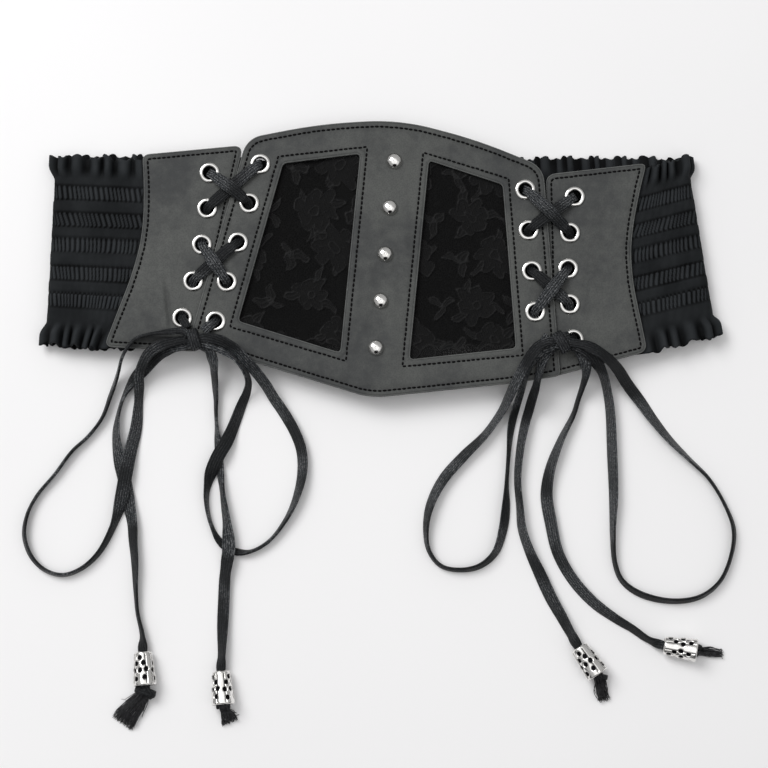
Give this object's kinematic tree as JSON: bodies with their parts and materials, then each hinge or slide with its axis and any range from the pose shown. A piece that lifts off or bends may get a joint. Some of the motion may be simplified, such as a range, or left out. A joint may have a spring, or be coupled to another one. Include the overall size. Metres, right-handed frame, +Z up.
{
  "type": "corset belt",
  "caption": "Wide corset belt laid flat: pointed leather front with lace windows and dome studs, laced side panels with bows and tassels, and a shirred elastic back.",
  "frame": {"origin": "middle of the belt without its free laces, on the surface it lies on", "axes": "+X along the belt to its right end as worn, +Y up to the pointed top, +Z up from the surface out of the front"},
  "size_m": [0.359, 0.3085, 0.0229],
  "materials": {
    "leather": "matte charcoal grey, lightly mottled",
    "lace": "sheer black floral lace",
    "elastic": "black shirred elastic with ruffled edges",
    "laces": "flat waxed weave with a slight sheen",
    "nickel": "polished nickel",
    "cast_metal": "bright cast metal with dark pits",
    "closure": "smooth black, hidden"
  },
  "bodies": {
    "root": {"centre_panel": "leather", "stud_1": "nickel", "stud_2": "nickel", "stud_3": "nickel", "stud_4": "nickel", "stud_5": "nickel", "lace_panel_left": "lace", "side_panel_left": "leather", "elastic_left": "elastic", "eyelet_front_left_1": "nickel", "eyelet_front_left_2": "nickel", "eyelet_front_left_3": "nickel", "eyelet_front_left_4": "nickel", "eyelet_front_left_5": "nickel", "eyelet_side_left_1": "nickel", "eyelet_side_left_2": "nickel", "eyelet_side_left_3": "nickel", "eyelet_side_left_4": "nickel", "eyelet_side_left_5": "nickel", "lacing_left": "laces", "bow_knot_left": "laces", "lace_panel_right": "lace", "side_panel_right": "leather", "elastic_right": "elastic", "eyelet_front_right_1": "nickel", "eyelet_front_right_2": "nickel", "eyelet_front_right_3": "nickel", "eyelet_front_right_4": "nickel", "eyelet_front_right_5": "nickel", "eyelet_side_right_1": "nickel", "eyelet_side_right_2": "nickel", "eyelet_side_right_3": "nickel", "eyelet_side_right_4": "nickel", "eyelet_side_right_5": "nickel", "lacing_right": "laces", "bow_knot_right": "laces", "back_tab": "closure", "bow_loop_1": "laces", "bow_tail_1": "laces", "cord_end_1": "cast_metal", "tassel_1": "laces", "bow_loop_2": "laces", "bow_tail_2": "laces", "cord_end_2": "cast_metal", "tassel_2": "laces", "bow_loop_3": "laces", "bow_tail_3": "laces", "cord_end_3": "cast_metal", "tassel_3": "laces", "bow_loop_4": "laces", "bow_tail_4": "laces", "cord_end_4": "cast_metal", "tassel_4": "laces"}
  },
  "joints": []
}
